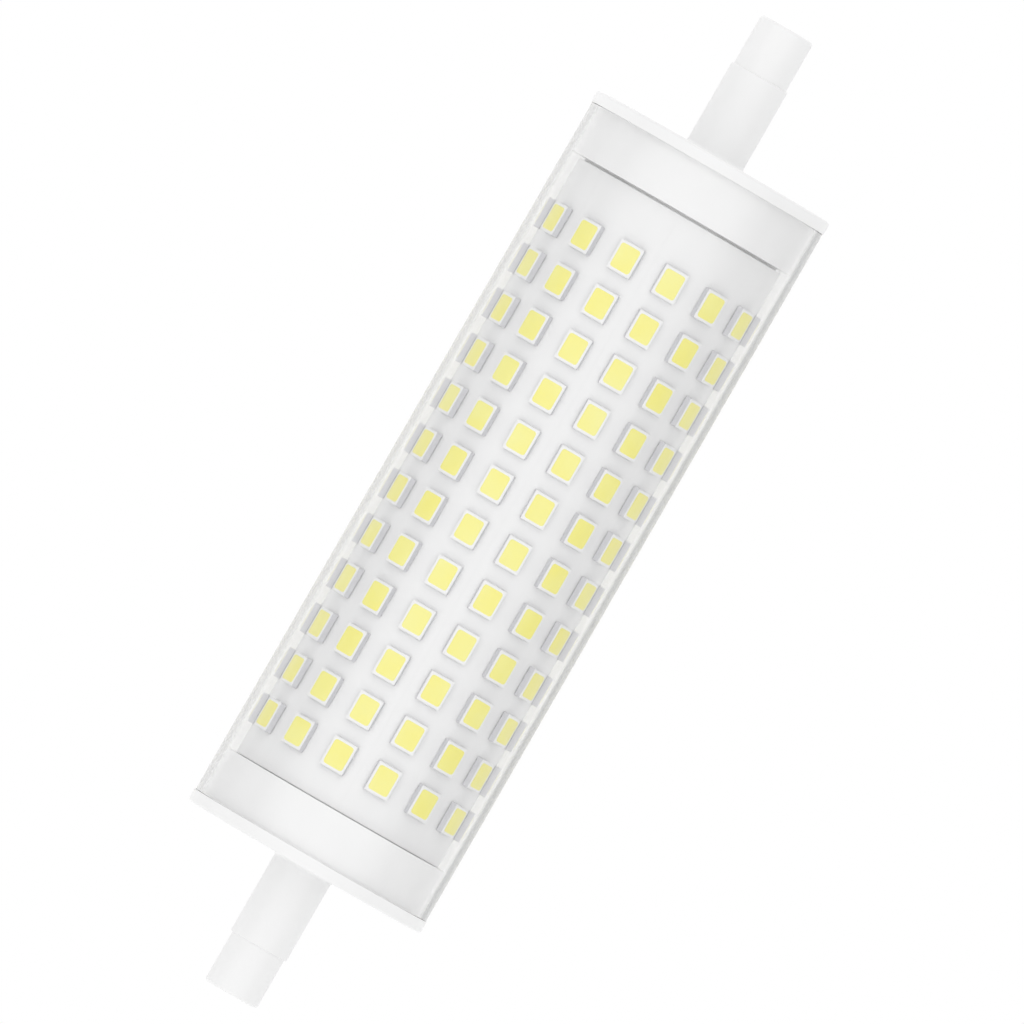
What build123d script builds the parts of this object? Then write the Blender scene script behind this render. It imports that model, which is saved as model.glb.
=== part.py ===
from build123d import *
from math import floor, sqrt
import os

# Double-ended linear LED lamp with a recessed single contact at each end, in millimetres.
# The lamp's axis is X, its middle is the origin, and +Z is the side that faces the viewer.

# Clear tube
tube_length = 84.0
tube_outer_radius = 14.1
tube_wall = 0.7

# End cap: flange against the tube's end, spigot inside the tube, nose inside the rolled board
flange_thickness = 1.4
flange_overhang = 0.1
flange_chamfer = 0.3
spigot_length = 5.55
spigot_clearance = 0.05
nose_length = 3.4
nose_clearance = 0.05
nose_wall = 1.25
cap_floor = 1.8

# Stem of the end cap, with its slimmer tip and contact recess
shank_radius = 3.38
shank_length = 9.7
tip_radius = 3.15
tip_length = 5.9
tip_chamfer = 0.4
recess_radius = 2.0
recess_depth = 1.9
wire_bore_radius = 1.5

# Contact button, set just below the floor of its recess
contact_clearance = 0.05
contact_setback = 0.1
contact_length = 4.0

# Rolled LED board
board_thickness = 0.55
board_end_slack = 0.3
seam_width = 0.6
seam_columns_from_back = 1.5
chip_to_tube_gap = 0.36

# LED package, with its phosphor window
package_length = 3.5
package_width = 2.8
package_height = 0.66
package_draft = 4.0
window_length = 2.85
window_width = 2.3
window_height = 0.03
solder_film = 0.02

# Array of packages round the board
column_count = 15
row_pitch = 5.5
first_row_inset = 5.215

# Driver board, the mains leads at its ends and the pins that join it to the LED board
driver_thickness = 1.2
driver_clearance = 0.1
driver_slot_depth = 2.05
mains_lead_radius = 0.5
mains_lead_overlap = 3.5
pin_side = 0.64
pin_spacing = 5.08
pin_clearance = 0.1
pin_inset = 1.05
pin_proud = 0.3

# Driver parts: length along X, width along Y, height off the board
part_gap = 1.2
lower_part_gap = 2.4
part_film = 0.05
fuse_length = 6.0
fuse_radius = 1.3
varistor_length = 4.5
varistor_width = 3.2
varistor_height = 2.0
film_length = 7.5
film_width = 4.0
film_height = 6.5
film_chamfer = 0.4
smoothing_radius = 4.0
smoothing_height = 8.0
output_radius = 2.5
output_height = 5.4
can_base_height = 0.8
can_base_border = 0.15
core_length = 7.4
core_width = 7.0
core_height = 6.4
core_limb = 1.2
core_yoke = 1.3
core_centre_leg = 2.2
winding_clearance = 0.1
winding_overhang = 0.6

# Driver parts under the board
bridge_length = 4.7
bridge_width = 3.9
bridge_height = 2.4
bridge_leg_pitch = 2.5
bridge_legs_per_side = 2
chip_length = 4.9
chip_width = 3.9
chip_height = 1.5
chip_leg_pitch = 1.27
chip_legs_per_side = 4
leg_width = 0.4
leg_thickness = 0.2
leg_reach = 1.0
leg_sink = 0.2
diode_length = 4.3
diode_width = 2.6
diode_height = 2.1
diode_tab_length = 0.9
diode_tab_width = 1.45
diode_tab_height = 0.25
resistor_length = 3.2
resistor_width = 1.6
resistor_height = 0.55
resistor_count = 3
ceramic_length = 2.0
ceramic_width = 1.25
ceramic_height = 0.9
ceramic_count = 3
block_gap = 0.9

# Places along the axis, measured from the middle
tube_end_x = tube_length / 2
collar_x = tube_end_x - spigot_length
nose_end_x = collar_x - nose_length
flange_face_x = tube_end_x + flange_thickness
cap_floor_x = flange_face_x - cap_floor
shoulder_x = flange_face_x + shank_length
lamp_end_x = shoulder_x + tip_length
recess_floor_x = lamp_end_x - recess_depth
contact_face_x = recess_floor_x - contact_setback
contact_back_x = contact_face_x - contact_length

# Radii that follow from the fits, from the tube inwards
tube_inner_radius = tube_outer_radius - tube_wall
flange_radius = tube_outer_radius + flange_overhang
spigot_radius = tube_inner_radius - spigot_clearance
chip_top_radius = sqrt((tube_inner_radius - chip_to_tube_gap) ** 2 - (package_width / 2) ** 2)
package_seat_radius = chip_top_radius - package_height
board_outer_radius = package_seat_radius - solder_film
board_inner_radius = board_outer_radius - board_thickness
nose_radius = board_inner_radius - nose_clearance
nose_bore_radius = nose_radius - nose_wall
contact_radius = wire_bore_radius - contact_clearance

# The board butts on the left collar and stops short of the right one
board_left_x = -collar_x
board_right_x = collar_x - board_end_slack
board_length = board_right_x - board_left_x
pin_x = nose_end_x - pin_inset
pin_hole_side = pin_side + 2 * pin_clearance

# Rows that fit between the left inset and the pin holes at the right
first_row_x = board_left_x + first_row_inset
last_row_limit_x = pin_x - (pin_hole_side + package_length) / 2
row_count = floor((last_row_limit_x - first_row_x) / row_pitch) + 1
array_centre_x = first_row_x + (row_count - 1) * row_pitch / 2
back_angle = 180
column_angle = 360 / column_count
column_angles = [back_angle + column_angle * index for index in range(column_count)]
seam_angle = back_angle - seam_columns_from_back * column_angle

# The driver board's upper face carries the mains leads, which run along the axis
driver_top_z = -mains_lead_radius - part_film
driver_bottom_z = driver_top_z - driver_thickness
driver_slot_x = nose_end_x + driver_slot_depth
driver_end_x = driver_slot_x - driver_clearance
driver_width = 2 * (sqrt(nose_radius**2 - driver_bottom_z**2) - driver_clearance)
part_seat_z = driver_top_z + part_film
part_hang_z = driver_bottom_z - part_film


def radial_plane(angle, radius, x=0.0):
    """A plane square to the radius at an angle from +Z towards +Y, with its x axis along the lamp."""
    outward = Vector(0, 0, 1).rotate(Axis.X, -angle)
    return Plane(origin=Vector(x, 0, 0) + outward * radius, x_dir=(1, 0, 0), z_dir=outward)


def centres_in_row(lengths, gap):
    """Centres along X of parts set one after another with equal gaps, as a row about the middle."""
    edge = -(sum(lengths) + gap * (len(lengths) - 1)) / 2
    centres = []
    for length in lengths:
        centres.append(edge + length / 2)
        edge += length + gap
    return centres


# Tube: drawn glass, cut square
with BuildPart() as clear_tube:
    with BuildSketch(Plane.YZ):
        Circle(tube_outer_radius)
        Circle(tube_inner_radius, mode=Mode.SUBTRACT)
    extrude(amount=tube_end_x, both=True)

# End caps: the same moulding at both ends, turned profile first, then contact hole and driver slot
tip_plane = Plane(origin=(lamp_end_x, 0, 0), x_dir=(0, 1, 0), z_dir=(1, 0, 0))
slot_plane = Plane(origin=(nose_end_x, 0, driver_bottom_z - driver_clearance))
with BuildPart() as end_caps:
    with BuildSketch(Plane.XZ):
        with BuildLine():
            Polyline(
                (cap_floor_x, 0),
                (cap_floor_x, nose_bore_radius),
                (nose_end_x, nose_bore_radius),
                (nose_end_x, nose_radius),
                (collar_x, nose_radius),
                (collar_x, spigot_radius),
                (tube_end_x, spigot_radius),
                (tube_end_x, flange_radius),
                (flange_face_x, flange_radius),
                (flange_face_x, shank_radius),
                (shoulder_x, shank_radius),
                (shoulder_x, tip_radius),
                (lamp_end_x, tip_radius),
                (lamp_end_x, 0),
                close=True,
            )
        make_face()
    revolve(axis=Axis.X)
    rings = end_caps.edges().filter_by(GeomType.CIRCLE)
    tip_edge = rings.sort_by(Axis.X)[-1]
    rim_edge = rings.group_by(SortBy.RADIUS)[-1].sort_by(Axis.X)[-1]
    chamfer(tip_edge, length=tip_chamfer)
    chamfer(rim_edge, length=flange_chamfer)
    with Locations(tip_plane):
        CounterBoreHole(
            radius=wire_bore_radius,
            counter_bore_radius=recess_radius,
            counter_bore_depth=recess_depth,
            depth=lamp_end_x - cap_floor_x,
        )
    with BuildSketch(slot_plane):
        Rectangle(driver_slot_depth, 2 * nose_radius, align=(Align.MIN, Align.CENTER))
    extrude(amount=driver_thickness + 2 * driver_clearance, mode=Mode.SUBTRACT)
    mirror(about=Plane.YZ)

# Contacts: plain turned buttons, each pressed into the wire bore behind its recess
with BuildPart() as right_contact:
    with BuildSketch(Plane.YZ.offset(contact_face_x)):
        Circle(contact_radius)
    extrude(amount=-contact_length)

with BuildPart() as left_contact:
    mirror(right_contact.part, about=Plane.YZ)

# LED board: sheet rolled into a cylinder, with a seam along its back and two holes for its pins
pin_places = {"positive_pin": (pin_x, pin_spacing / 2), "negative_pin": (pin_x, -pin_spacing / 2)}
with BuildPart() as led_board:
    with BuildSketch(Plane.YZ.offset(board_left_x)):
        Circle(board_outer_radius)
        Circle(board_inner_radius, mode=Mode.SUBTRACT)
    extrude(amount=board_length)
    with BuildSketch(radial_plane(seam_angle, board_inner_radius / 2)):
        with Locations((board_left_x, 0)):
            Rectangle(board_length, seam_width, align=(Align.MIN, Align.CENTER))
    extrude(amount=board_outer_radius, mode=Mode.SUBTRACT)
    with BuildSketch(Plane.XY.offset(driver_bottom_z)):
        with Locations(*pin_places.values()):
            Rectangle(pin_hole_side, pin_hole_side)
    extrude(amount=-board_outer_radius, mode=Mode.SUBTRACT)

# LED packages: tapered mouldings on a plane at each column, in rows along the lamp
package_planes = [radial_plane(angle, package_seat_radius, array_centre_x) for angle in column_angles]
with BuildPart() as led_packages:
    with BuildSketch(*package_planes):
        with GridLocations(row_pitch, row_pitch, row_count, 1):
            Rectangle(package_length, package_width)
    extrude(amount=package_height, taper=package_draft)

# Phosphor windows: the cast fill that shows at the top of each package
window_planes = [radial_plane(angle, chip_top_radius, array_centre_x) for angle in column_angles]
with BuildPart() as led_phosphors:
    with BuildSketch(*window_planes):
        with GridLocations(row_pitch, row_pitch, row_count, 1):
            Rectangle(window_length, window_width)
    extrude(amount=window_height)

# Driver board: held by its ends in the slots of the two noses
with BuildPart() as driver_board:
    with BuildSketch(Plane.XY.offset(driver_bottom_z)):
        Rectangle(2 * driver_end_x, driver_width)
    extrude(amount=driver_thickness)

# Mains leads: straight along the axis, from the contact's back to a pad at the driver board's end
with BuildPart() as right_mains_lead:
    with BuildSketch(Plane.YZ.offset(contact_back_x)):
        Circle(mains_lead_radius)
    extrude(amount=driver_end_x - mains_lead_overlap - contact_back_x)

with BuildPart() as left_mains_lead:
    mirror(right_mains_lead.part, about=Plane.YZ)

# Pins to the LED board: square, straight down from the driver board and through the holes in the roll
pin_end_z = -board_outer_radius - pin_proud
pins = {}
for name, pin_place in pin_places.items():
    with BuildPart() as pin:
        with BuildSketch(Plane.XY.offset(part_hang_z)):
            with Locations(pin_place):
                Rectangle(pin_side, pin_side)
        extrude(amount=pin_end_z - part_hang_z)
    pins[name] = pin

# Places of the parts on the driver board, in one row above it and one below
smoothing_base = 2 * (smoothing_radius + can_base_border)
output_base = 2 * (output_radius + can_base_border)
upper_lengths = [fuse_length, varistor_length, film_length, smoothing_base, core_length, output_base]
fuse_x, varistor_x, film_x, smoothing_x, core_x, output_x = centres_in_row(upper_lengths, part_gap)
lower_lengths = [bridge_length, ceramic_length, chip_length, resistor_length, diode_length]
bridge_x, ceramic_x, chip_x, resistor_x, diode_x = centres_in_row(lower_lengths, lower_part_gap)

# Fusible resistor: round body that lies along the board
with BuildPart() as fusible_resistor:
    with BuildSketch(Plane.YZ.offset(fuse_x)):
        with Locations((0, part_seat_z + fuse_radius)):
            Circle(fuse_radius)
    extrude(amount=fuse_length / 2, both=True)

# Surge varistor: flat block
with BuildPart() as surge_varistor:
    with BuildSketch(Plane.XY.offset(part_seat_z)):
        with Locations((varistor_x, 0)):
            Rectangle(varistor_length, varistor_width)
    extrude(amount=varistor_height)

# Film capacitor across the mains: moulded box with bevelled upright corners
with BuildPart() as input_film_capacitor:
    with BuildSketch(Plane.XY.offset(part_seat_z)):
        with Locations((film_x, 0)):
            Rectangle(film_length, film_width)
    extrude(amount=film_height)
    chamfer(input_film_capacitor.edges().filter_by(Axis.Z), length=film_chamfer)

# Electrolytic capacitors: can on a square base
can_sizes = {
    "smoothing_capacitor": (smoothing_x, smoothing_radius, smoothing_height, smoothing_base),
    "output_capacitor": (output_x, output_radius, output_height, output_base),
}
cans = {}
for name, (can_x, can_radius, can_height, base_side) in can_sizes.items():
    with BuildPart() as can:
        with BuildSketch(Plane.XY.offset(part_seat_z)):
            with Locations((can_x, 0)):
                Rectangle(base_side, base_side)
        extrude(amount=can_base_height)
        with BuildSketch(Plane.XY.offset(part_seat_z + can_base_height)):
            with Locations((can_x, 0)):
                Circle(can_radius)
        extrude(amount=can_height - can_base_height)
    cans[name] = can

# Inductor core: closed ferrite frame with a centre leg, seen along Y
core_window_length = (core_length - 2 * core_limb - core_centre_leg) / 2
core_window_height = core_height - 2 * core_yoke
core_window_offset = (core_centre_leg + core_window_length) / 2
core_plane = Plane(origin=(core_x, 0, part_seat_z), x_dir=(1, 0, 0), z_dir=(0, -1, 0))
with BuildPart() as inductor_core:
    with BuildSketch(core_plane):
        Rectangle(core_length, core_height, align=(Align.CENTER, Align.MIN))
        with Locations((core_window_offset, core_height / 2), (-core_window_offset, core_height / 2)):
            Rectangle(core_window_length, core_window_height, mode=Mode.SUBTRACT)
    extrude(amount=core_width / 2, both=True)

# Inductor winding: wound round the centre leg, through both windows of the core
winding_base_z = part_seat_z + core_yoke + winding_clearance
winding_bore = (core_centre_leg + 2 * winding_clearance, core_width + 2 * winding_clearance)
winding_length = core_length - 2 * core_limb - 2 * winding_clearance
with BuildPart() as inductor_winding:
    with BuildSketch(Plane.XY.offset(winding_base_z)):
        with Locations((core_x, 0)):
            Rectangle(winding_length, core_width + 2 * (winding_clearance + winding_overhang))
            Rectangle(*winding_bore, mode=Mode.SUBTRACT)
    extrude(amount=core_window_height - 2 * winding_clearance)


def legged_package(x, length, width, height, leg_pitch, legs_per_side):
    """A moulded package under the driver board, with bent legs along both of its sides."""
    first_leg_x = x - leg_pitch * (legs_per_side - 1) / 2
    leg_planes = [Plane.YZ.offset(first_leg_x + leg_pitch * index) for index in range(legs_per_side)]
    root_y = width / 2 - leg_sink
    knee_y = width / 2 + leg_reach / 2
    toe_y = width / 2 + leg_reach
    root_z = part_hang_z - height / 2
    foot_z = part_hang_z - leg_thickness
    with BuildPart() as package:
        with BuildSketch(Plane.XY.offset(foot_z)):
            with Locations((x, 0)):
                Rectangle(length, width)
        extrude(amount=leg_thickness - height)
        with BuildSketch(*leg_planes):
            with BuildLine():
                Polyline(
                    (root_y, root_z),
                    (knee_y, root_z),
                    (knee_y, foot_z),
                    (toe_y, foot_z),
                    (toe_y, part_hang_z),
                    (knee_y - leg_thickness, part_hang_z),
                    (knee_y - leg_thickness, root_z + leg_thickness),
                    (root_y, root_z + leg_thickness),
                    close=True,
                )
            make_face()
            mirror(about=Plane.YZ)
        extrude(amount=leg_width / 2, both=True)
    return package


# Bridge rectifier and driver chip: the same form of package with more or fewer legs
bridge_rectifier = legged_package(
    bridge_x, bridge_length, bridge_width, bridge_height, bridge_leg_pitch, bridge_legs_per_side
)
driver_chip = legged_package(
    chip_x, chip_length, chip_width, chip_height, chip_leg_pitch, chip_legs_per_side
)

# Freewheel diode: block with a flat tab under each end
with BuildPart() as freewheel_diode:
    with BuildSketch(Plane.XY.offset(part_hang_z)):
        with Locations((diode_x, 0)):
            Rectangle(diode_length, diode_width)
    extrude(amount=-diode_height)
    with BuildSketch(Plane.XY.offset(part_hang_z)):
        with Locations((diode_x, 0)):
            Rectangle(diode_length + 2 * diode_tab_length, diode_tab_width)
    extrude(amount=-diode_tab_height)

# Sense resistors and ceramic capacitors: small blocks side by side across the board
small_blocks = {
    "sense_resistors": (resistor_x, resistor_length, resistor_width, resistor_height, resistor_count),
    "ceramic_capacitors": (ceramic_x, ceramic_length, ceramic_width, ceramic_height, ceramic_count),
}
block_groups = {}
for name, (block_x, block_length, block_width, block_height, block_count) in small_blocks.items():
    block_pitch = block_width + block_gap
    with BuildPart() as blocks:
        with BuildSketch(Plane.XY.offset(part_hang_z)):
            with Locations((block_x, 0)):
                with GridLocations(block_pitch, block_pitch, 1, block_count):
                    Rectangle(block_length, block_width)
        extrude(amount=-block_height)
    block_groups[name] = blocks

# Label and write every piece
pieces = {
    "clear_tube": clear_tube,
    "end_caps": end_caps,
    "left_contact": left_contact,
    "right_contact": right_contact,
    "led_board": led_board,
    "led_packages": led_packages,
    "led_phosphors": led_phosphors,
    "driver_board": driver_board,
    "left_mains_lead": left_mains_lead,
    "right_mains_lead": right_mains_lead,
    "fusible_resistor": fusible_resistor,
    "surge_varistor": surge_varistor,
    "input_film_capacitor": input_film_capacitor,
    "bridge_rectifier": bridge_rectifier,
    "inductor_core": inductor_core,
    "inductor_winding": inductor_winding,
    "driver_chip": driver_chip,
    "freewheel_diode": freewheel_diode,
    **pins,
    **cans,
    **block_groups,
}
os.makedirs("parts", exist_ok=True)
for node, piece in pieces.items():
    piece.part.label = node
    export_step(piece.part, f"parts/{node}.step")
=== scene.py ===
"""Looks of a double-ended linear LED lamp: clear tube, moulded end caps and a rolled board of LED chips."""

import logging
import math
from dataclasses import dataclass
from enum import Enum
from typing import Any

import bmesh
import bpy
from mathutils import Matrix, Vector


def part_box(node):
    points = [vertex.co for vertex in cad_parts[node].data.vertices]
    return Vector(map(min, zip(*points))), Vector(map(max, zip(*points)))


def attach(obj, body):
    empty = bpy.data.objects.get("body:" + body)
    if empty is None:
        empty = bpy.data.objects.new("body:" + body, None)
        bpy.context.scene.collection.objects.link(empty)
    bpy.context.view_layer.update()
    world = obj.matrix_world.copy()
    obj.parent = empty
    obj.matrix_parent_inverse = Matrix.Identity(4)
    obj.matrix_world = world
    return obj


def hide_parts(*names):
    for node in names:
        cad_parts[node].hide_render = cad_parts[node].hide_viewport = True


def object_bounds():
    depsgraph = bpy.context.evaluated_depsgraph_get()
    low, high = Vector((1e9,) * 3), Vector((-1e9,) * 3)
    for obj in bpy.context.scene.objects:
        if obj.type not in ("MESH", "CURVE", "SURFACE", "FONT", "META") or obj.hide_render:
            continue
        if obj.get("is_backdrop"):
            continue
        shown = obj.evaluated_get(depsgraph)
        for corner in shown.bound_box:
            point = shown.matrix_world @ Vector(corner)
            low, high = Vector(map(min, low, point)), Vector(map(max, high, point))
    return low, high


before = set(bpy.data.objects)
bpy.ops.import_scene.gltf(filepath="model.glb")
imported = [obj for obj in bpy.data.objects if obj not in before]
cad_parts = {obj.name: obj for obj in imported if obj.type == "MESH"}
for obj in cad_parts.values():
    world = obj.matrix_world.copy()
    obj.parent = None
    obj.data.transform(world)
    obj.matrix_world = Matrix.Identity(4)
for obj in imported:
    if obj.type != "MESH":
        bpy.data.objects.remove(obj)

log = logging.getLogger("lamp")

# A millimetre in metres, and how near two points are joined, in millimetres
MM = 0.001
WELD = 0.0001

# Degrees in a whole turn, and from the lamp's front to its back
TURN = 360.0
BACK_ANGLE = 180.0

BODY = "root"
WHITE = (1.0, 1.0, 1.0, 1.0)

# The sRGB curve: a straight stretch up to its knee, and a power above it
SRGB_TOP = 255
SRGB_KNEE = 0.04045
SRGB_SLOPE = 12.92
SRGB_OFFSET = 0.055
SRGB_POWER = 2.4

# Sockets of the Mix node, for colours and for numbers
MIX_FACTOR, COLOUR_FROM, COLOUR_TO, MIXED_COLOUR = 0, 6, 7, 2
NUMBER_FROM, NUMBER_TO, MIXED_NUMBER = 2, 3, 0

# A Wave texture takes the sine of 20 times its coordinate, so this is one wave at scale 1
WAVE_LENGTH = 2 * math.pi / 20

# Keeps what a vector has across the lamp's axis
ACROSS = (0.0, 1.0, 1.0)

# A place in a profile, inputs of a node by name or place, and the points and faces of a mesh
Point = tuple[float, float]
Inputs = dict[str | int, Any]
Skin = tuple[list[Vector], list[list[int]]]


class End(Enum):
    """The lamp's two ends, by the sign of their place along its axis."""

    LEFT = -1
    RIGHT = 1


class Axis(Enum):
    """An axis of the lamp's frame."""

    X = "x"
    Y = "y"
    Z = "z"


class Waves(Enum):
    """How waves lie on a surface."""

    BANDS = "side by side along an axis"
    RINGS = "in rings round an axis"


# Small tools for nodes


def linear(colour: str) -> tuple[float, float, float, float]:
    """Turn an sRGB hex colour into linear light.

    Args:
        colour: six hex digits after a hash sign.

    Returns:
        Red, green, blue and full alpha.
    """
    values = []
    for place in (1, 3, 5):
        share = int(colour[place : place + 2], 16) / SRGB_TOP
        curved = ((share + SRGB_OFFSET) / (1 + SRGB_OFFSET)) ** SRGB_POWER
        values.append(share / SRGB_SLOPE if share <= SRGB_KNEE else curved)
    red, green, blue = values
    return red, green, blue, 1.0


def per(size: float) -> float:
    """Texture scale whose pattern repeats at this size in millimetres."""
    return 1 / (size * MM)


def add_node(
    tree: bpy.types.NodeTree, kind: str, inputs: Inputs | None = None, **settings: Any
) -> bpy.types.Node:
    """Add one node with its settings, and fill or link its inputs.

    Args:
        tree: the node tree that takes the node.
        kind: the node's type name.
        inputs: a value or another node's output for each input, by name or place.
        settings: the node's own properties.

    Returns:
        The new node.
    """
    node = tree.nodes.new(kind)
    for name, value in settings.items():
        setattr(node, name, value)
    for key, value in (inputs or {}).items():
        if isinstance(value, bpy.types.NodeSocket):
            tree.links.new(value, node.inputs[key])
        else:
            node.inputs[key].default_value = value
    return node


def relief_and_shade(
    tree: bpy.types.NodeTree,
    height: bpy.types.NodeSocket,
    depth: float,
    share: bpy.types.NodeSocket,
    colours: tuple[str, str],
    under: Inputs | None = None,
) -> Inputs:
    """Raise a pattern out of a surface, and shade the surface from one colour to another.

    Args:
        tree: the material's node tree.
        height: the pattern that is raised.
        depth: how far it is raised, in millimetres.
        share: how much each place takes of the second colour.
        colours: the two sRGB hex colours.
        under: the normal of a relief under this one, if there is one.

    Returns:
        The outputs to link, by the shader's input.
    """
    relief = add_node(tree, "ShaderNodeBump", {"Height": height, "Distance": depth * MM, **(under or {})})
    first, second = [linear(colour) for colour in colours]
    shade = add_node(
        tree, "ShaderNodeMix", {MIX_FACTOR: share, COLOUR_FROM: first, COLOUR_TO: second}, data_type="RGBA"
    )
    return {"Normal": relief.outputs["Normal"], "Base Color": shade.outputs[MIXED_COLOUR]}


# Finishes


@dataclass(frozen=True)
class Finish:
    """A surface: what it is made of and how it was made.

    Attributes:
        name: common name of the material.
        colour: sRGB hex colour.
        roughness: typical roughness.
        metallic: 1 for bare metal.
        ior: refractive index, or None where the shader's own is kept.
    """

    name: str
    colour: str
    roughness: float
    metallic: float = 0.0
    ior: float | None = None

    def material(self) -> bpy.types.Material:
        """Build the material from its constants and its pattern.

        Returns:
            The material, with its nodes.
        """
        material = bpy.data.materials.new(self.name)
        material.use_nodes = True
        tree = material.node_tree
        tree.nodes.clear()
        shader = add_node(tree, "ShaderNodeBsdfPrincipled", {**self.constants(), **self.pattern(tree)})
        surface = self.surface(tree, shader.outputs["BSDF"])
        add_node(tree, "ShaderNodeOutputMaterial", {"Surface": surface})
        return material

    def constants(self) -> Inputs:
        """Shader values that are the same all over the surface.

        Returns:
            The values, by the shader's input.
        """
        values: Inputs = {
            "Base Color": linear(self.colour),
            "Roughness": self.roughness,
            "Metallic": self.metallic,
        }
        if self.ior is not None:
            values["IOR"] = self.ior
        return values

    def pattern(self, tree: bpy.types.NodeTree) -> Inputs:
        """Shader inputs that change over the surface.

        Args:
            tree: the material's node tree.

        Returns:
            The outputs to link, by the shader's input.
        """
        raise NotImplementedError

    def surface(self, tree: bpy.types.NodeTree, shader: bpy.types.NodeSocket) -> bpy.types.NodeSocket:
        """What the material shows: its shader, unless a finish adds to it.

        Args:
            tree: the material's node tree.
            shader: the output of its main shader.

        Returns:
            The output that the material shows.
        """
        return shader


@dataclass(frozen=True)
class DrawnGlass(Finish):
    """Clear glass drawn into tube: fire-polished, with very faint lines along the draw.

    The wall is seen more and more edge on towards the tube's two sides, where its longer way through glass
    veils what is behind it, and the veil's grey, deepened as painted shade, darkens the board and collars
    there.
    At the rim the wall is painted grey as shade, darker on the -Y side and paler on the +Y side, as the photo
    shows it. Sizes are in millimetres, and the starts and ends of the veil and the rim are on a scale from 0,
    face on, to 1, edge on.
    """

    line_length: float = 40.0
    line_width: float = 1.6
    line_colour: str = "#FBFBFB"
    # Painted shade in part: the veil greys the board and collars seen towards the tube's sides
    veil_and_painted_shade_colour: str = "#EBEBEB"
    veil_start: float = 0.08
    veil_full: float = 0.42
    # Painted shade at the rim: darker on the -Y side, paler on the +Y side
    rim_painted_shade_dark: str = "#737373"
    rim_painted_shade_pale: str = "#A2A2A2"
    rim_start: float = 0.63
    rim_full: float = 0.72
    middle_radius: float = 13.75

    def constants(self) -> Inputs:
        """Shader values that are the same all over the surface."""
        return {**super().constants(), "Transmission Weight": 1.0}

    def pattern(self, tree: bpy.types.NodeTree) -> Inputs:
        """Draw lines, and the grey of the wall as it is seen more and more edge on, much of it painted shade.

        Args:
            tree: the material's node tree.

        Returns:
            The outputs to link, by the shader's input.
        """
        place = add_node(tree, "ShaderNodeTexCoord")
        sizes = (per(self.line_length), per(self.line_width), per(self.line_width))
        drawn = add_node(tree, "ShaderNodeMapping", {"Vector": place.outputs["Object"], "Scale": sizes})
        lines = add_node(tree, "ShaderNodeTexNoise", {"Vector": drawn.outputs["Vector"], "Scale": 1.0})
        middle = self.middle_radius * MM
        sides = add_node(tree, "ShaderNodeSeparateXYZ", {"Vector": place.outputs["Object"]})
        # The rim's painted shade goes from dark on the -Y side to pale on the +Y side
        pale = add_node(
            tree, "ShaderNodeMapRange", {"Value": sides.outputs["Y"], "From Min": -middle, "From Max": middle}
        )
        rim = add_node(
            tree,
            "ShaderNodeMix",
            {
                MIX_FACTOR: pale.outputs["Result"],
                COLOUR_FROM: linear(self.rim_painted_shade_dark),
                COLOUR_TO: linear(self.rim_painted_shade_pale),
            },
            data_type="RGBA",
        )
        # The rim's painted shade is on the outer face alone, so that the gap beside the board stays clear
        across = add_node(
            tree, "ShaderNodeVectorMath", {0: place.outputs["Object"], 1: ACROSS}, operation="MULTIPLY"
        )
        radius = add_node(tree, "ShaderNodeVectorMath", {0: across.outputs["Vector"]}, operation="LENGTH")
        outside = add_node(
            tree, "ShaderNodeMath", {0: radius.outputs["Value"], 1: middle}, operation="GREATER_THAN"
        )
        edge_on = add_node(tree, "ShaderNodeLayerWeight")
        veiled_and_shaded, rim_shaded = [
            add_node(
                tree,
                "ShaderNodeMapRange",
                {"Value": edge_on.outputs["Facing"], "From Min": start, "From Max": full, "To Max": most},
                interpolation_type="SMOOTHSTEP",
            )
            for start, full, most in (
                (self.veil_start, self.veil_full, 1.0),
                (self.rim_start, self.rim_full, outside.outputs["Value"]),
            )
        ]
        # Faint lines, then the veil's and the rim's painted shade, laid over the glass's own tint
        tint: Any = linear(self.colour)
        for share, colour in (
            (lines.outputs["Fac"], linear(self.line_colour)),
            (veiled_and_shaded.outputs["Result"], linear(self.veil_and_painted_shade_colour)),
            (rim_shaded.outputs["Result"], rim.outputs[MIXED_COLOUR]),
        ):
            layered = add_node(
                tree,
                "ShaderNodeMix",
                {MIX_FACTOR: share, COLOUR_FROM: tint, COLOUR_TO: colour},
                data_type="RGBA",
            )
            tint = layered.outputs[MIXED_COLOUR]
        return {"Base Color": tint}

    def surface(self, tree: bpy.types.NodeTree, shader: bpy.types.NodeSocket) -> bpy.types.NodeSocket:
        """Let light to and from matt surfaces pass unbent, and show glass to every other ray.

        Args:
            tree: the material's node tree.
            shader: the output of the glass shader.

        Returns:
            The output that the material shows.
        """
        ray = add_node(tree, "ShaderNodeLightPath")
        clear = add_node(tree, "ShaderNodeBsdfTransparent")
        for kind in ("Is Diffuse Ray", "Is Shadow Ray"):
            passed = add_node(
                tree,
                "ShaderNodeMixShader",
                {0: ray.outputs[kind], 1: shader, 2: clear.outputs["BSDF"]},
            )
            shader = passed.outputs["Shader"]
        return shader


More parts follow.
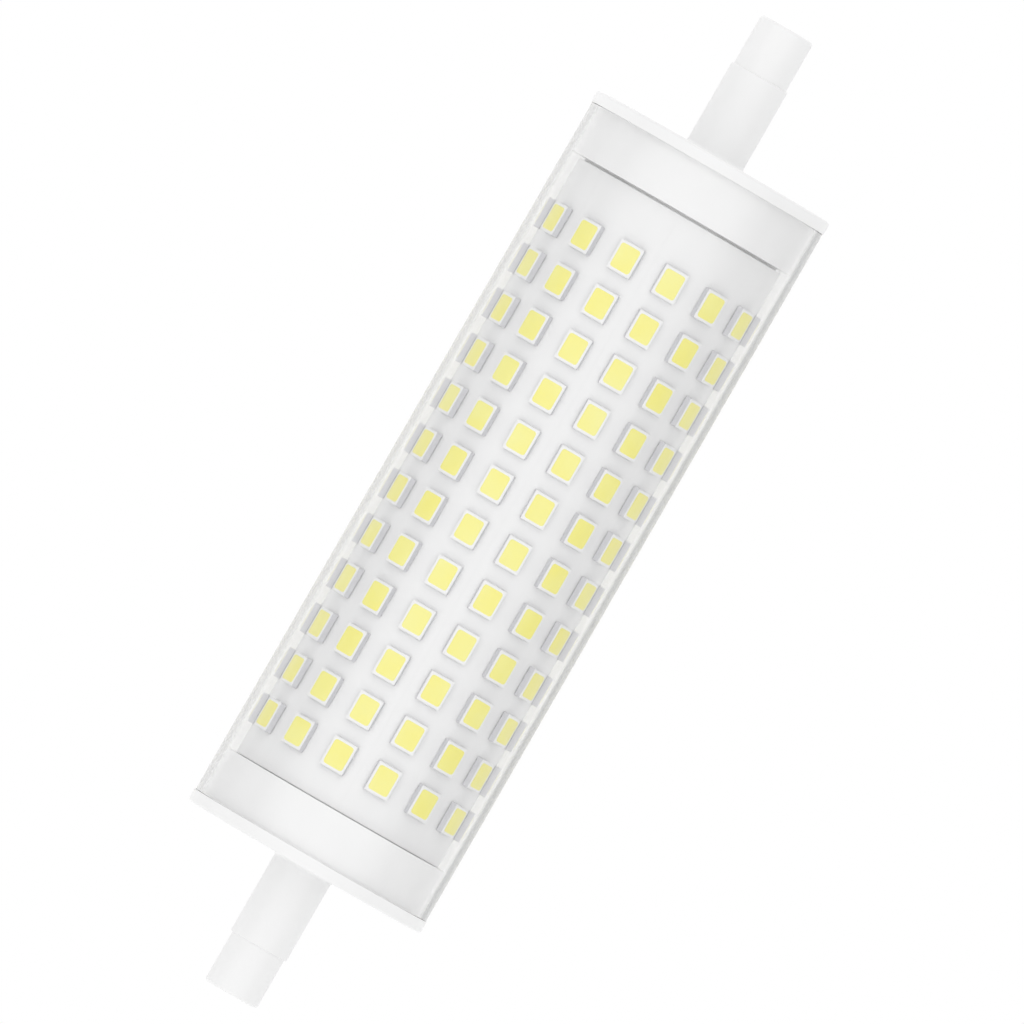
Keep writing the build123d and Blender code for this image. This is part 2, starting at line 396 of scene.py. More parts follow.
@dataclass(frozen=True)
class MouldedPlastic(Finish):
    """White thermoplastic moulded in a spark-eroded tool: a fine even satin, with a little flow shade.

    The tool's grain is about 0.05 mm; it is drawn coarser so that it shows. Sizes are in millimetres.
    """

    grain: float = 0.22
    grain_depth: float = 0.004
    flow_size: float = 9.0
    flow_colour: str = "#EBEBEB"
    satin_spread: float = 0.06

    def pattern(self, tree: bpy.types.NodeTree) -> Inputs:
        """Fine grain in the surface, and slow changes of shade along the flow.

        Args:
            tree: the material's node tree.

        Returns:
            The outputs to link, by the shader's input.
        """
        place = add_node(tree, "ShaderNodeTexCoord")
        grain, flow = [
            add_node(tree, "ShaderNodeTexNoise", {"Vector": place.outputs["Object"], "Scale": per(size)})
            for size in (self.grain, self.flow_size)
        ]
        height = grain.outputs["Fac"]
        least, most = self.roughness - self.satin_spread, self.roughness + self.satin_spread
        satin = add_node(tree, "ShaderNodeMapRange", {"Value": height, "To Min": least, "To Max": most})
        colours = (self.colour, self.flow_colour)
        return {
            **relief_and_shade(tree, height, self.grain_depth, flow.outputs["Fac"], colours),
            "Roughness": satin.outputs["Result"],
        }


@dataclass(frozen=True)
class SolderMask(Finish):
    """White ink printed over copper on aluminium: a smooth satin with a slight orange peel.

    The copper's edges stand out faintly under the ink, as lines along the lamp between columns of chips.
    Sizes are in millimetres and degrees, and gap_share is half of a gap's width as a share of a column's.
    """

    peel: float = 0.5
    peel_depth: float = 0.004
    column_angle: float = 24.0
    gap_share: float = 0.05
    copper_step: float = 0.002
    gap_colour: str = "#E9E9E9"

    def pattern(self, tree: bpy.types.NodeTree) -> Inputs:
        """Orange peel of the ink, over bands of copper two columns wide, parted by narrow gaps.

        Args:
            tree: the material's node tree.

        Returns:
            The outputs to link, by the shader's input.
        """
        place = add_node(tree, "ShaderNodeTexCoord")
        axes = add_node(tree, "ShaderNodeSeparateXYZ", {"Vector": place.outputs["Object"]})
        turn = add_node(
            tree, "ShaderNodeMath", {0: axes.outputs["Y"], 1: axes.outputs["Z"]}, operation="ARCTAN2"
        )
        pitch = math.radians(self.column_angle)
        columns = add_node(tree, "ShaderNodeMath", {0: turn.outputs["Value"], 1: pitch}, operation="DIVIDE")
        band = add_node(tree, "ShaderNodeMath", {0: columns.outputs["Value"], 1: 1.0}, operation="PINGPONG")
        copper = add_node(
            tree,
            "ShaderNodeMapRange",
            {"Value": band.outputs["Value"], "From Max": self.gap_share},
            interpolation_type="SMOOTHSTEP",
        )
        share = copper.outputs["Result"]
        step = add_node(tree, "ShaderNodeBump", {"Height": share, "Distance": self.copper_step * MM})
        peel = add_node(
            tree, "ShaderNodeTexNoise", {"Vector": place.outputs["Object"], "Scale": per(self.peel)}
        )
        under = {"Normal": step.outputs["Normal"]}
        colours = (self.gap_colour, self.colour)
        return relief_and_shade(tree, peel.outputs["Fac"], self.peel_depth, share, colours, under)


@dataclass(frozen=True)
class PackageResin(Finish):
    """White reflector resin moulded over a lead frame: a bright flat rim, and sawn walls whose grey is partly
    their duller surface, partly painted shade.

    Its grain is about 0.03 mm; it is drawn coarser so that it shows. Sizes are in millimetres, and where
    walls end and the rim starts are cosines of the surface's turn from straight out of the roll.
    """

    # Painted shade in part: the walls' grey also stands for the shade between chips
    dull_and_shaded_wall_colour: str = "#D0D0D3"
    wall_facing: float = 0.5
    rim_facing: float = 0.9
    grain: float = 0.15
    grain_depth: float = 0.003

    def pattern(self, tree: bpy.types.NodeTree) -> Inputs:
        """Grey where the surface turns away from straight out of the roll, partly painted shade, and a fine
        grain.

        Args:
            tree: the material's node tree.

        Returns:
            The outputs to link, by the shader's input.
        """
        place = add_node(tree, "ShaderNodeTexCoord")
        across = add_node(
            tree, "ShaderNodeVectorMath", {0: place.outputs["Object"], 1: ACROSS}, operation="MULTIPLY"
        )
        outward = add_node(
            tree, "ShaderNodeVectorMath", {0: across.outputs["Vector"]}, operation="NORMALIZE"
        )
        facing = add_node(
            tree,
            "ShaderNodeVectorMath",
            {0: place.outputs["Normal"], 1: outward.outputs["Vector"]},
            operation="DOT_PRODUCT",
        )
        rim = add_node(
            tree,
            "ShaderNodeMapRange",
            {"Value": facing.outputs["Value"], "From Min": self.wall_facing, "From Max": self.rim_facing},
        )
        grain = add_node(
            tree, "ShaderNodeTexNoise", {"Vector": place.outputs["Object"], "Scale": per(self.grain)}
        )
        colours = (self.dull_and_shaded_wall_colour, self.colour)
        return relief_and_shade(
            tree, grain.outputs["Fac"], self.grain_depth, rim.outputs["Result"], colours
        )


@dataclass(frozen=True)
class PhosphorSilicone(Finish):
    """Silicone cast with yellow phosphor: a soft gloss over grains, paler or deeper from chip to chip.

    Its grains are about 0.02 mm; they are drawn coarser so that they show. Sizes are in millimetres.
    """

    deep_colour: str = "#F3EB80"
    grain: float = 0.16
    grain_share: float = 0.35
    grain_depth: float = 0.003
    chip_pitch: float = 5.5
    gloss: float = 0.1

    def constants(self) -> Inputs:
        """Shader values that are the same all over the surface."""
        return {**super().constants(), "Specular IOR Level": self.gloss}

    def pattern(self, tree: bpy.types.NodeTree) -> Inputs:
        """Grains of phosphor, over a shade that changes from chip to chip.

        Args:
            tree: the material's node tree.

        Returns:
            The outputs to link, by the shader's input.
        """
        place = add_node(tree, "ShaderNodeTexCoord")
        grains, batch = [
            add_node(tree, kind, {"Vector": place.outputs["Object"], "Scale": per(size)})
            for kind, size in (("ShaderNodeTexVoronoi", self.grain), ("ShaderNodeTexNoise", self.chip_pitch))
        ]
        height = grains.outputs["Distance"]
        deep = add_node(
            tree,
            "ShaderNodeMath",
            {0: height, 1: self.grain_share, 2: batch.outputs["Fac"]},
            operation="MULTIPLY_ADD",
        )
        colours = (self.colour, self.deep_colour)
        return relief_and_shade(tree, height, self.grain_depth, deep.outputs["Value"], colours)


@dataclass(frozen=True)
class RidgedFinish(Finish):
    """A surface with waves in one or two directions: tool rings, turns of wire or threads under a skin.

    Attributes:
        pitch: distance from wave to wave, in millimetres.
        depth: height of the waves, in millimetres.
        groove_tone_and_shade_colour: sRGB hex colour between the waves: their own tone, with painted shade
            where the grooves are deep and dark.
        directions: axes that the waves follow one another along, or lie in rings round.
        lie: how the waves lie.
    """

    pitch: float = 0.3
    depth: float = 0.004
    groove_tone_and_shade_colour: str = "#808080"
    directions: tuple[Axis, ...] = (Axis.X,)
    lie: Waves = Waves.BANDS

    def pattern(self, tree: bpy.types.NodeTree) -> Inputs:
        """Waves in shade and relief, multiplied where two directions cross.

        Args:
            tree: the material's node tree.

        Returns:
            The outputs to link, by the shader's input.
        """
        place = add_node(tree, "ShaderNodeTexCoord")
        height: Any = 1.0
        for direction in self.directions:
            waves = add_node(
                tree,
                "ShaderNodeTexWave",
                {"Vector": place.outputs["Object"], "Scale": WAVE_LENGTH * per(self.pitch)},
                wave_type=self.lie.name,
                bands_direction=direction.name,
                rings_direction=direction.name,
            )
            crossed = add_node(
                tree, "ShaderNodeMath", {0: height, 1: waves.outputs["Fac"]}, operation="MULTIPLY"
            )
            height = crossed.outputs["Value"]
        return relief_and_shade(tree, height, self.depth, height, (self.groove_tone_and_shade_colour, self.colour))


@dataclass(frozen=True)
class Zone:
    """A stretch of a part along one axis with a surface of its own: a metal end, a base or a painted band.

    Attributes:
        axis: the axis that it is measured along.
        start: its lower end, in millimetres.
        end: its upper end, in millimetres.
        colour: sRGB hex colour.
        roughness: its roughness.
        metallic: 1 for bare metal.
    """

    axis: Axis
    start: float
    end: float
    colour: str
    roughness: float
    metallic: float = 0.0


@dataclass(frozen=True)
class SpeckledBody(Finish):
    """A dipped, moulded, pressed or set body with a fine speckle, and zones with a surface of their own.

    The real speckle is finer; it is drawn coarser so that it shows. Sizes are in millimetres.
    """

    second_colour: str = "#808080"
    speckle: float = 0.25
    speckle_depth: float = 0.006
    zones: tuple[Zone, ...] = ()

    def pattern(self, tree: bpy.types.NodeTree) -> Inputs:
        """Speckle in shade and relief, with the zones over it.

        Args:
            tree: the material's node tree.

        Returns:
            The outputs to link, by the shader's input.
        """
        place = add_node(tree, "ShaderNodeTexCoord")
        axes = add_node(tree, "ShaderNodeSeparateXYZ", {"Vector": place.outputs["Object"]})
        speckle = add_node(
            tree, "ShaderNodeTexNoise", {"Vector": place.outputs["Object"], "Scale": per(self.speckle)}
        )
        spots = speckle.outputs["Fac"]
        inputs = relief_and_shade(tree, spots, self.speckle_depth, spots, (self.colour, self.second_colour))
        for zone in self.zones:
            middle, half = (zone.start + zone.end) / 2 * MM, (zone.end - zone.start) / 2 * MM
            within = add_node(
                tree,
                "ShaderNodeMath",
                {0: axes.outputs[zone.axis.name], 1: middle, 2: half},
                operation="COMPARE",
            )
            share = within.outputs["Value"]
            colour = add_node(
                tree,
                "ShaderNodeMix",
                {MIX_FACTOR: share, COLOUR_FROM: inputs["Base Color"], COLOUR_TO: linear(zone.colour)},
                data_type="RGBA",
            )
            inputs["Base Color"] = colour.outputs[MIXED_COLOUR]
            for socket, plain, zoned in (
                ("Roughness", self.roughness, zone.roughness),
                ("Metallic", self.metallic, zone.metallic),
            ):
                value = add_node(
                    tree,
                    "ShaderNodeMix",
                    {MIX_FACTOR: share, NUMBER_FROM: inputs.get(socket, plain), NUMBER_TO: zoned},
                )
                inputs[socket] = value.outputs[MIXED_NUMBER]
        return inputs


@dataclass(frozen=True)
class LitSheet(Finish):
    """White sheet lit from below: matt and bright, pure white where it is seen bare, and clear from behind.

    Attributes:
        glow: light that it gives off by itself, as it is seen through glass and in reflections.
        bounce: the same, as it lights the lamp.
    """

    glow: float = 0.37
    bounce: float = 0.2

    def constants(self) -> Inputs:
        """Shader values that are the same all over the surface."""
        return {**super().constants(), "Specular IOR Level": 0.0, "Emission Color": WHITE}

    def pattern(self, tree: bpy.types.NodeTree) -> Inputs:
        """The sheet's own light, by what it falls on.

        Args:
            tree: the material's node tree.

        Returns:
            The outputs to link, by the shader's input.
        """
        ray = add_node(tree, "ShaderNodeLightPath")
        light = add_node(
            tree,
            "ShaderNodeMapRange",
            {"Value": ray.outputs["Is Diffuse Ray"], "To Min": self.glow, "To Max": self.bounce},
        )
        return {"Emission Strength": light.outputs["Result"]}

    def surface(self, tree: bpy.types.NodeTree, shader: bpy.types.NodeSocket) -> bpy.types.NodeSocket:
        """Show plain white where the sheet is seen bare, and nothing of it from behind.

        Args:
            tree: the material's node tree.
            shader: the output of the sheet's shader.

        Returns:
            The output that the material shows.
        """
        ray = add_node(tree, "ShaderNodeLightPath")
        white = add_node(tree, "ShaderNodeEmission", {"Color": WHITE})
        side = add_node(tree, "ShaderNodeNewGeometry")
        clear = add_node(tree, "ShaderNodeBsdfTransparent")
        for share, other in (
            (ray.outputs["Is Camera Ray"], white.outputs["Emission"]),
            (side.outputs["Backfacing"], clear.outputs["BSDF"]),
        ):
            shown = add_node(tree, "ShaderNodeMixShader", {0: share, 1: shader, 2: other})
            shader = shown.outputs["Shader"]
        return shader


# Small tools for shapes


@dataclass(frozen=True)
class Corner:
    """A corner of a turned profile, in millimetres.

    Attributes:
        x: place along the axis.
        r: distance from the axis.
        rounding: radius that rounds it, or 0 for a sharp corner.
    """

    x: float
    r: float
    rounding: float = 0.0


def rounded(corners: list[Corner], steps: int = 6) -> list[Point]:
    """Round the corners of a closed profile by arcs.

    Args:
        corners: the profile's corners, in order.
        steps: straight steps in each arc.

    Returns:
        Points of the profile, in order.
    """
    points: list[Point] = []
    for index, corner in enumerate(corners):
        here = Vector((corner.x, corner.r))
        if corner.rounding == 0:
            points.append((here.x, here.y))
            continue
        before, after = corners[index - 1], corners[(index + 1) % len(corners)]
        back = (Vector((before.x, before.r)) - here).normalized()
        onward = (Vector((after.x, after.r)) - here).normalized()
        half = back.angle(onward) / 2
        centre = here + (back + onward).normalized() * corner.rounding / math.sin(half)
        reach = corner.rounding / math.tan(half)
        first_arm = (here + back * reach - centre).normalized()
        last_arm = (here + onward * reach - centre).normalized()
        for step in range(steps + 1):
            point = centre + first_arm.slerp(last_arm, step / steps) * corner.rounding
            points.append((point.x, point.y))
    return points


def make_piece(name: str, vertices: list[Vector], faces: list[list[int]]) -> bpy.types.Object:
    """Make a mesh object from points in millimetres.

    Args:
        name: the piece's name.
        vertices: points in the lamp's frame, in millimetres.
        faces: places of each face's points.

    Returns:
        The object, in the scene.
    """
    mesh = bpy.data.meshes.new(name)
    mesh.from_pydata([tuple(vertex * MM) for vertex in vertices], [], faces)
    mesh.validate()
    piece = bpy.data.objects.new(name, mesh)
    bpy.context.scene.collection.objects.link(piece)
    return piece


def lofted(rings: list[list[Vector]], looped: bool = False) -> Skin:
    """Join rings of points, one after another, into a closed skin.

    Args:
        rings: rings with the same number of points.
        looped: True if the last ring joins the first, or False if a face closes each of the two.

    Returns:
        The skin's points and faces.
    """
    count = len(rings[0])
    starts = [count * index for index in range(len(rings))]
    joins = list(zip(starts, starts[1:]))
    faces = []
    if looped:
        joins.append((starts[-1], starts[0]))
    else:
        faces.append(list(reversed(range(count))))
        faces.append([starts[-1] + step for step in range(count)])
    for low, high in joins:
        for step in range(count):
            onward = (step + 1) % count
            faces.append([low + step, low + onward, high + onward, high + step])
    return [point for ring in rings for point in ring], faces


def full_turn(segments: int) -> list[float]:
    """Angles, in degrees, of a whole turn in equal steps."""
    return [TURN / segments * step for step in range(segments)]


def turned(name: str, profile: list[Point], angles: list[float], whole: bool = True) -> bpy.types.Object:
    """Turn a closed profile about the lamp's axis.

    Args:
        name: the piece's name.
        profile: points (x, r) of the profile, in millimetres.
        angles: angles from +Z towards +Y, in degrees.
        whole: True if the last angle joins the first, or False if both ends are closed by the profile.

    Returns:
        The turned piece.
    """
    rings = []
    for angle in angles:
        outward = Vector((0, math.sin(math.radians(angle)), math.cos(math.radians(angle))))
        rings.append([Vector((x, 0, 0)) + outward * r for x, r in profile])
    return make_piece(name, *lofted(rings, looped=whole))


def outline(length: float, width: float, rounding: float, height: float, steps: int = 3) -> list[Vector]:
    """A rectangle with rounded corners, at one height.

    Args:
        length: size along x.
        width: size along y.
        rounding: radius of its corners.
        height: its place along z.
        steps: straight steps in each corner.

    Returns:
        Its points, anticlockwise from above.
    """
    points = []
    for quarter, (sign_x, sign_y) in enumerate([(1, 1), (-1, 1), (-1, -1), (1, -1)]):
        centre = Vector((sign_x * (length / 2 - rounding), sign_y * (width / 2 - rounding), height))
        for step in range(steps + 1):
            angle = math.pi / 2 * (quarter + step / steps)
            points.append(centre + Vector((math.cos(angle), math.sin(angle), 0)) * rounding)
    return points


def copied(shape: Skin, places: list[Matrix]) -> Skin:
    """Repeat a skin at several places.

    Args:
        shape: points and faces of one copy.
        places: the move and turn of each copy.

    Returns:
        Points and faces of all the copies.
    """
    points, sides = shape
    vertices: list[Vector] = []
    faces: list[list[int]] = []
    for place in places:
        start = len(vertices)
        vertices += [place @ point for point in points]
        faces += [[start + index for index in side] for side in sides]
    return vertices, faces


def on_roll(x: float, angle: float, radius: float) -> Matrix:
    """Where a thing made flat at z 0 sits on a cylinder round the lamp's axis.

    Args:
        x: place along the axis, in millimetres.
        angle: angle from +Z towards +Y, in degrees.
        radius: the cylinder's radius, in millimetres.

    Returns:
        The move and turn that take it there.
    """
    return Matrix.Rotation(-math.radians(angle), 4, "X") @ Matrix.Translation((x, 0, radius))


def carve(piece: bpy.types.Object, cutter: bpy.types.Object) -> None:
    """Cut one shape out of another and take the cutting shape away.

    Args:
        piece: the piece to cut.
        cutter: the shape to take out of it.
    """
    cut = piece.modifiers.new("cut", "BOOLEAN")
    cut.object = cutter
    cut.operation = "DIFFERENCE"
    scene_now = bpy.context.evaluated_depsgraph_get()
    piece.data = bpy.data.meshes.new_from_object(piece.evaluated_get(scene_now))
    piece.modifiers.clear()
    bpy.data.objects.remove(cutter)


def refined(piece: bpy.types.Object, sharp_angle: float = 40.0) -> bpy.types.Object:
    """Clean a mesh, turn its faces outward and shade it smooth between sharp edges.

    Args:
        piece: the piece to finish.
        sharp_angle: edges that bend more than this many degrees stay sharp.

    Returns:
        The same piece.
    """
    shape = bmesh.new()
    shape.from_mesh(piece.data)
    bmesh.ops.remove_doubles(shape, verts=shape.verts, dist=WELD * MM)
    bmesh.ops.recalc_face_normals(shape, faces=shape.faces)
    shape.to_mesh(piece.data)
    shape.free()
    piece.data.polygons.foreach_set("use_smooth", [True] * len(piece.data.polygons))
    piece.data.set_sharp_from_angle(angle=math.radians(sharp_angle))
    piece.modifiers.new("flat_faces_stay_flat", "WEIGHTED_NORMAL").keep_sharp = True
    return piece


def dress(piece: bpy.types.Object, finish: Finish, slot: str, *nodes: str) -> None:
    """Dress a piece and let it stand for its solids.

    Args:
        piece: the finished shape.
        finish: its surface.
        slot: the record's slot of that surface; not used.
        nodes: the solids that it stands for.
    """
    piece.data.materials.clear()
    piece.data.materials.append(finish.material())
    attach(piece, BODY)
    if nodes:
        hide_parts(*nodes)
    log.info("%s: %d faces, %s", piece.name, len(piece.data.polygons), finish.name)


# Sub-assemblies


@dataclass
class ClearTube:
    """Drawn glass tube with fire-polished ends, in millimetres."""

    outer_radius: float = 14.1
    wall: float = 0.7
    end_rounding: float = 0.12
    segments: int = 288

    def build(self) -> None:
        """Make the tube where its solid is."""
        low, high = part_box("clear_tube")
        left, right = low.x / MM, high.x / MM
        inner = self.outer_radius - self.wall
        profile = rounded(
            [
                Corner(left, self.outer_radius, self.end_rounding),
                Corner(right, self.outer_radius, self.end_rounding),
                Corner(right, inner, self.end_rounding),
                Corner(left, inner, self.end_rounding),
            ]
        )
        # Drawn from the melt, so nothing has touched it: no grain, sharp reflections and a clear view inside
        # Its edge-on sides and its rim carry painted shade
        glass = DrawnGlass("drawn_clear_glass", "#FEFEFE", roughness=0.0, ior=1.4)
        tube = refined(turned("tube_glass", profile, full_turn(self.segments)))
        dress(tube, glass, "clear_glass", "clear_tube")


@dataclass
class EndCaps:
    """Moulded end caps: flange, spigot, nose and stem in one, in millimetres from the lamp's middle."""

    tube_end: float = 42.0
    collar: float = 36.45
    nose_end: float = 33.05
    flange_face: float = 43.4
    floor: float = 41.6
    shoulder: float = 53.1
    lamp_end: float = 59.0
    recess_floor: float = 57.1
    flange_radius: float = 14.185
    spigot_radius: float = 13.35
    nose_radius: float = 11.685
    nose_bore: float = 10.435
    shank_radius: float = 3.38
    tip_radius: float = 3.15
    recess_radius: float = 2.0
    wire_bore: float = 1.5
    edge: float = 0.12
    seat_edge: float = 0.03
    rim_rounding: float = 0.35
    root_fillet: float = 0.45
    tip_rounding: float = 0.4
    slot_depth: float = 2.05
    slot_width: float = 35.0
    slot_low: float = -1.85
    slot_high: float = -0.45
    segments: int = 192

    def build(self) -> None:
        """Make both caps where their solids are."""
        # Moulded against a spark-eroded tool, whose fine grain spreads every highlight into a soft sheen
        plastic = MouldedPlastic("moulded_white_pbt", "#F1F1F1", roughness=0.42, ior=1.55)
        for end in End:
            cap = refined(turned(f"{end.name.lower()}_cap", self.profile(end), full_turn(self.segments)))
            carve(cap, self.slot(end))
            dress(refined(cap), plastic, "cap_plastic", "end_caps")

    def profile(self, end: End) -> list[Point]:
        """The cap's half section.

        Args:
            end: which end of the lamp it closes.

        Returns:
            Points (x, r) of the closed profile.
        """
        corners = [
            Corner(self.floor, self.wire_bore),
            Corner(self.floor, self.nose_bore, self.rim_rounding),
            Corner(self.nose_end, self.nose_bore, self.edge),
            Corner(self.nose_end, self.nose_radius, self.edge),
            Corner(self.collar, self.nose_radius),
            Corner(self.collar, self.spigot_radius, self.edge),
            Corner(self.tube_end, self.spigot_radius),
            Corner(self.tube_end, self.flange_radius, self.seat_edge),
            Corner(self.flange_face, self.flange_radius, self.rim_rounding),
            Corner(self.flange_face, self.shank_radius, self.root_fillet),
            Corner(self.shoulder, self.shank_radius, self.edge),
            Corner(self.shoulder, self.tip_radius),
            Corner(self.lamp_end, self.tip_radius, self.tip_rounding),
            Corner(self.lamp_end, self.recess_radius, self.edge),
            Corner(self.recess_floor, self.recess_radius),
            Corner(self.recess_floor, self.wire_bore),
        ]
        points = [(x * end.value, r) for x, r in rounded(corners)]
        return points if end is End.RIGHT else points[::-1]

    def slot(self, end: End) -> bpy.types.Object:
        """The slot that holds the driver board's end.

        Args:
            end: which end of the lamp it is in.

        Returns:
            Its shape, to cut out of the cap.
        """
        rings = [
            outline(2 * self.slot_depth, self.slot_width, self.edge, height)
            for height in (self.slot_low, self.slot_high)
        ]
        place = Matrix.Translation((end.value * self.nose_end, 0, 0))
        return make_piece("slot", *copied(lofted(rings), [place]))


@dataclass
class Contacts:
    """Turned contact buttons at the bottom of the stems' recesses, in millimetres."""

    radius: float = 1.45
    rim_rounding: float = 0.2
    segments: int = 64

    def build(self) -> None:
        """Make both buttons where their solids are."""
        # Turned brass under bright nickel: the tool's rings stay visible through the thin plate
        nickel = RidgedFinish(
            "nickel_plated_brass",
            "#CFCBC2",
            roughness=0.24,
            metallic=1.0,
            pitch=0.12,
            groove_tone_and_shade_colour="#C9C5BB",
            lie=Waves.RINGS,
        )
        for end in End:
            node = f"{end.name.lower()}_contact"
            low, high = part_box(node)
            corners = [
                Corner(low.x / MM, 0),
                Corner(low.x / MM, self.radius, self.rim_rounding),
                Corner(high.x / MM, self.radius, self.rim_rounding),
                Corner(high.x / MM, 0),
            ]
            button = turned(f"{node}_button", rounded(corners), full_turn(self.segments))
            dress(refined(button), nickel, "contact_nickel", node)


@dataclass
class RolledBoard:
    """LED board rolled into a cylinder, with a seam along its back, in millimetres and degrees."""

    outer_radius: float = 12.285
    thickness: float = 0.55
    seam_angle: float = 144.0
    seam_width: float = 0.6
    left_gap: float = 0.06
    edge: float = 0.08
    edge_steps: int = 3
    hole_side: float = 0.84
    hole_border: float = 0.3
    solder_radius: float = 0.82
    solder_height: float = 0.4
    solder_tip: float = 0.4
    solder_sink: float = 0.12
    solder_steps: int = 8
    segments: int = 240

    def pin_places(self) -> list[Point]:
        """Middle (x, y) of each pin that comes out through the roll's back, in millimetres."""
        boxes = [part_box(node) for node in ("positive_pin", "negative_pin")]
        return [((low.x + high.x) / 2 / MM, (low.y + high.y) / 2 / MM) for low, high in boxes]

    def build(self) -> None:
        """Make the roll with its pin holes where its solid is, and the solder round the pins."""
        # Screen-printed white ink: smooth and bright, with a slight orange peel where it flowed out
        mask = SolderMask("white_solder_mask", "#EBEBEB", roughness=0.38, ior=1.5)
        half_seam = math.degrees(math.asin(self.seam_width / 2 / self.outer_radius))
        first, span = self.seam_angle + half_seam, TURN - 2 * half_seam
        angles = [first + span * step / self.segments for step in range(self.segments + 1)]
        board = refined(turned("led_board_roll", self.profile(), angles, whole=False))
        for x, y in self.pin_places():
            rings = [
                outline(self.hole_side, self.hole_side, self.edge, height)
                for height in (-self.outer_radius - self.thickness, 2 * self.thickness - self.outer_radius)
            ]
            carve(board, make_piece("pin_hole", *copied(lofted(rings), [Matrix.Translation((x, y, 0))])))
        dress(refined(board), mask, "board_white", "led_board")
        self.solder()

    def profile(self) -> list[Point]:
        """The roll's half section, with points beside the pin holes that keep their cut short.

        Returns:
            Points (x, r) of the closed profile.
        """
        low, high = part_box("led_board")
        left, right = low.x / MM + self.left_gap, high.x / MM
        inner = self.outer_radius - self.thickness
        pin_x, _ = self.pin_places()[0]
        reach = self.hole_side / 2 + self.hole_border
        corners = [
            Corner(left, self.outer_radius, self.edge),
            Corner(pin_x - reach, self.outer_radius),
            Corner(pin_x + reach, self.outer_radius),
            Corner(right, self.outer_radius, self.edge),
            Corner(right, inner, self.edge),
            Corner(pin_x + reach, inner),
            Corner(pin_x - reach, inner),
            Corner(left, inner, self.edge),
        ]
        return rounded(corners, self.edge_steps)

    def solder(self) -> None:
        """Make the solder that has flowed up each pin and hollowed as it set."""
        # Reflowed solder: it set from the melt, so it is bright and rounded, with a faint frost
        tin = SpeckledBody(
            "reflowed_solder", "#CAC8C3", roughness=0.22, metallic=1.0, second_colour="#B5B2AC", speckle=0.4
        )
        levels = [(self.solder_radius, -self.solder_sink)]
        for step in range(self.solder_steps + 1):
            share = step / self.solder_steps
            radius = self.solder_tip + (self.solder_radius - self.solder_tip) * (1 - share) ** 2
            levels.append((radius, self.solder_height * share))
        rings = [outline(2 * r, 2 * r, r, height, self.solder_steps) for r, height in levels]
        places = []
        for x, y in self.pin_places():
            angle = BACK_ANGLE - math.degrees(math.asin(y / self.outer_radius))
            places.append(on_roll(x, angle, self.outer_radius))
        joints = make_piece("pin_solder", *copied(lofted(rings), places))
        dress(refined(joints), tin, "tinned_copper")


@dataclass
class ChipArray:
    """LED chips on planes round the roll, in millimetres and degrees."""

    length: float = 3.5
    width: float = 2.8
    height: float = 0.66
    draft: float = 2.0
    edge: float = 0.05
    corner: float = 0.12
    window_length: float = 2.85
    window_width: float = 2.3
    window_corner: float = 0.3
    cup_depth: float = 0.14
    cup_taper: float = 0.1
    fill_gap: float = 0.004
    crown: float = 0.03
    crown_shoulder: float = 0.018
    crown_inset: float = 0.4
    seat_radius: float = 12.305
    columns: int = 15
    row_pitch: float = 5.5

    def build(self) -> None:
        """Make the packages and their windows where their solids are."""
        # Resin moulded round the lead frame and sawn apart: a bright smooth rim, and duller walls whose grey
        # is partly painted shade
        resin = PackageResin("white_reflector_resin", "#EDEDED", roughness=0.4, ior=1.55)
        # Cast soft and cured: a faint gloss over yellow grains
        phosphor = PhosphorSilicone("phosphor_silicone", "#F3F2AC", roughness=0.45, ior=1.42)
        places = self.places()
        packages = make_piece("chip_packages", *copied(self.package(), places))
        dress(refined(packages), resin, "led_package", "led_packages")
        windows = make_piece("chip_windows", *copied(self.window(), places))
        dress(refined(windows), phosphor, "led_phosphor", "led_phosphors")

    def package(self) -> Skin:
        """One tapered package with the cup in its top, seated at z 0.

        Returns:
            Its points and faces.
        """
        taper = 2 * math.tan(math.radians(self.draft))
        body = (self.length, self.width, self.corner, taper)
        cup = (self.window_length, self.window_width, self.window_corner, 0.0)
        levels = [
            (body, 0.0, 0.0),
            (body, 0.0, self.height - self.edge),
            (body, self.edge, self.height),
            (cup, 0.0, self.height),
            (cup, self.cup_taper, self.height - self.cup_depth),
        ]
        rings = []
        for (length, width, corner, slope), inset, level in levels:
            less = slope * level + 2 * inset
            rings.append(outline(length - less, width - less, corner, level))
        return lofted(rings)

    def window(self) -> Skin:
        """The phosphor that fills one cup, with a slight crown.

        Returns:
            Its points and faces.
        """
        levels = [
            (self.cup_taper + self.fill_gap, self.height - self.cup_depth + self.fill_gap),
            (self.fill_gap, self.height),
            (self.cup_taper, self.height + self.crown_shoulder),
            (self.crown_inset, self.height + self.crown),
        ]
        rings = []
        for inset, level in levels:
            size = (self.window_length - 2 * inset, self.window_width - 2 * inset)
            rings.append(outline(*size, self.window_corner, level))
        return lofted(rings)

    def places(self) -> list[Matrix]:
        """Where every chip sits, as the solids have them.

        Returns:
            The move and turn of each chip.
        """
        low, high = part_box("led_packages")
        first_row = low.x / MM + self.length / 2
        rows = round(((high.x - low.x) / MM - self.length) / self.row_pitch) + 1
        return [
            on_roll(first_row + row * self.row_pitch, BACK_ANGLE + angle, self.seat_radius)
            for angle in full_turn(self.columns)
            for row in range(rows)
        ]


